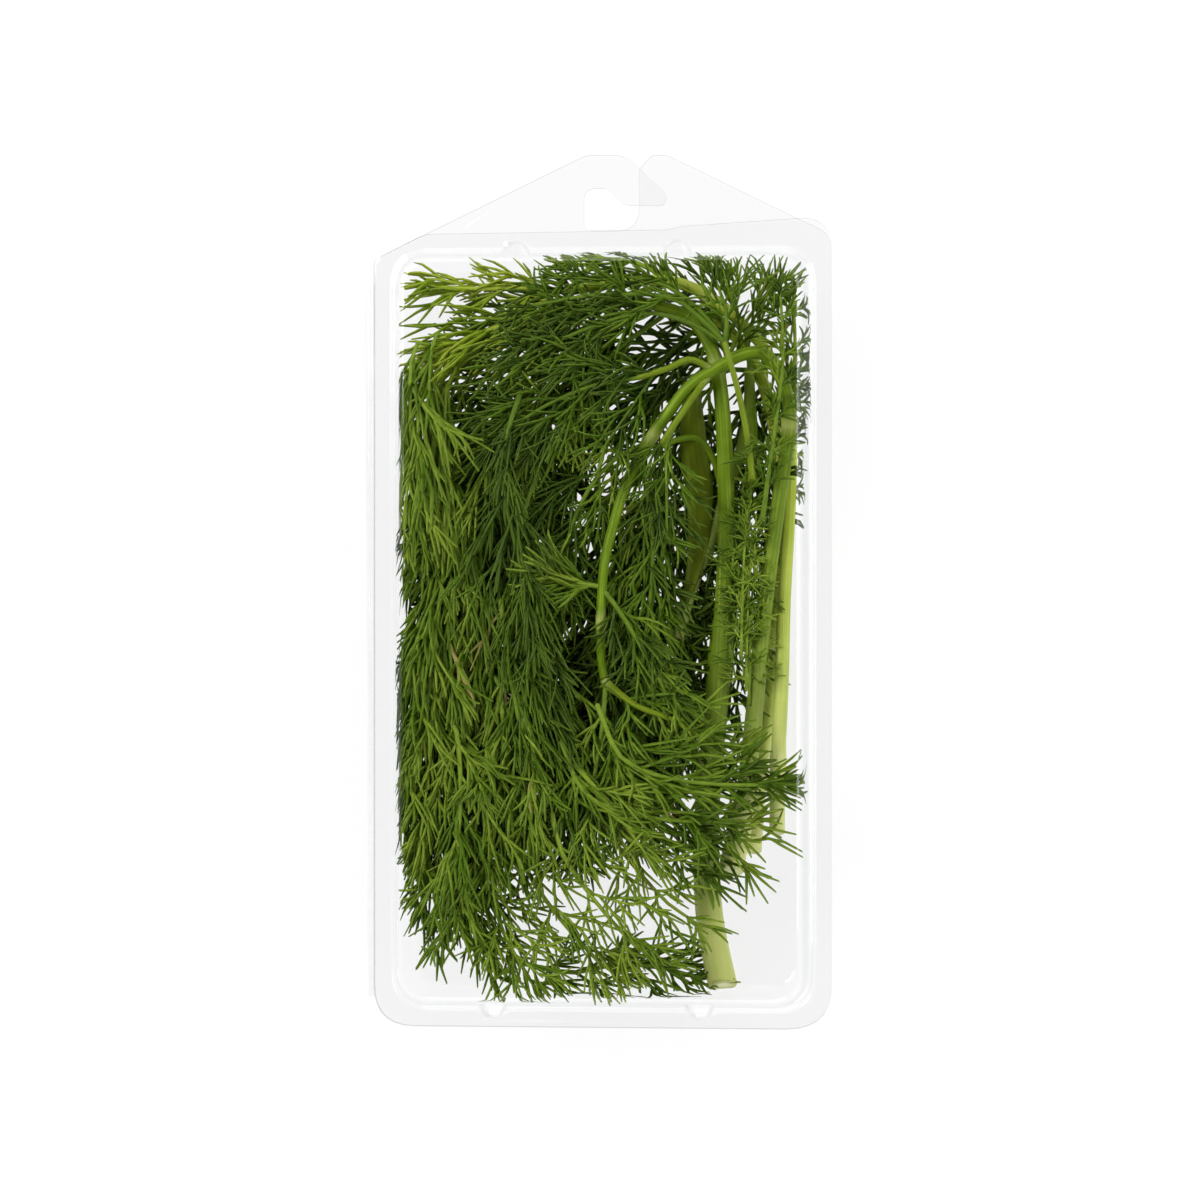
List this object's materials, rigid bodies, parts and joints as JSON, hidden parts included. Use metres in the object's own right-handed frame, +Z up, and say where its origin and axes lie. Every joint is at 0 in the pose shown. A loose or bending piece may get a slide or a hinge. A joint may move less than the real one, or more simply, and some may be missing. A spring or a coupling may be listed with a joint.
{
  "type": "dill bunch in a hinged clamshell",
  "caption": "Bunch of cut dill folded flat in a clear hinged clamshell pack with a hang tab; the lid swings open on its side hinge.",
  "frame": {"origin": "middle of the pack's outer box, on the surface it lies on", "axes": "+Y from the foot of the pack to its hang tab, +X from the hinge to the free edge, +Z up through the lid's front face"},
  "size_m": [0.102, 0.19, 0.026],
  "materials": {
    "clear_sheet": "clear thermoformed PET sheet",
    "stem_green": "fresh, slightly waxy dill stem",
    "leaf_green": "fresh dark green dill leaf",
    "young_green": "fresh yellow-green dill leaf"
  },
  "bodies": {
    "tray": {"tray": "clear_sheet", "sprig_main": "stem_green", "sprig_arch": "leaf_green", "sprig_top": "young_green", "sprig_right": "stem_green", "sprig_short": "stem_green", "cover_leaf": "leaf_green", "leaf_centre": "young_green", "leaf_left_top": "young_green", "leaf_left_mid": "leaf_green", "leaf_left_low": "leaf_green", "leaf_mid_low": "leaf_green", "leaf_bottom_left": "leaf_green", "leaf_bottom_mid": "leaf_green", "leaf_bottom_floor": "leaf_green", "leaf_fan_right": "leaf_green", "leaf_fan_low": "leaf_green", "leaf_right_top": "leaf_green", "leaf_right_mid": "leaf_green", "leaf_inner_a": "leaf_green", "leaf_inner_b": "leaf_green", "leaf_back_1": "leaf_green", "leaf_back_2": "leaf_green", "leaf_back_4": "leaf_green", "leaf_back_5": "leaf_green", "leaf_back_8": "leaf_green"},
    "lid": {"lid": "clear_sheet"}
  },
  "joints": [
    {"name": "lid_hinge", "type": "hinge", "parent": "tray", "child": "lid", "pos_m": [-0.051, 0, 0.01455], "axis": [0, -1, 0], "range_deg": [0, 180]}
  ]
}
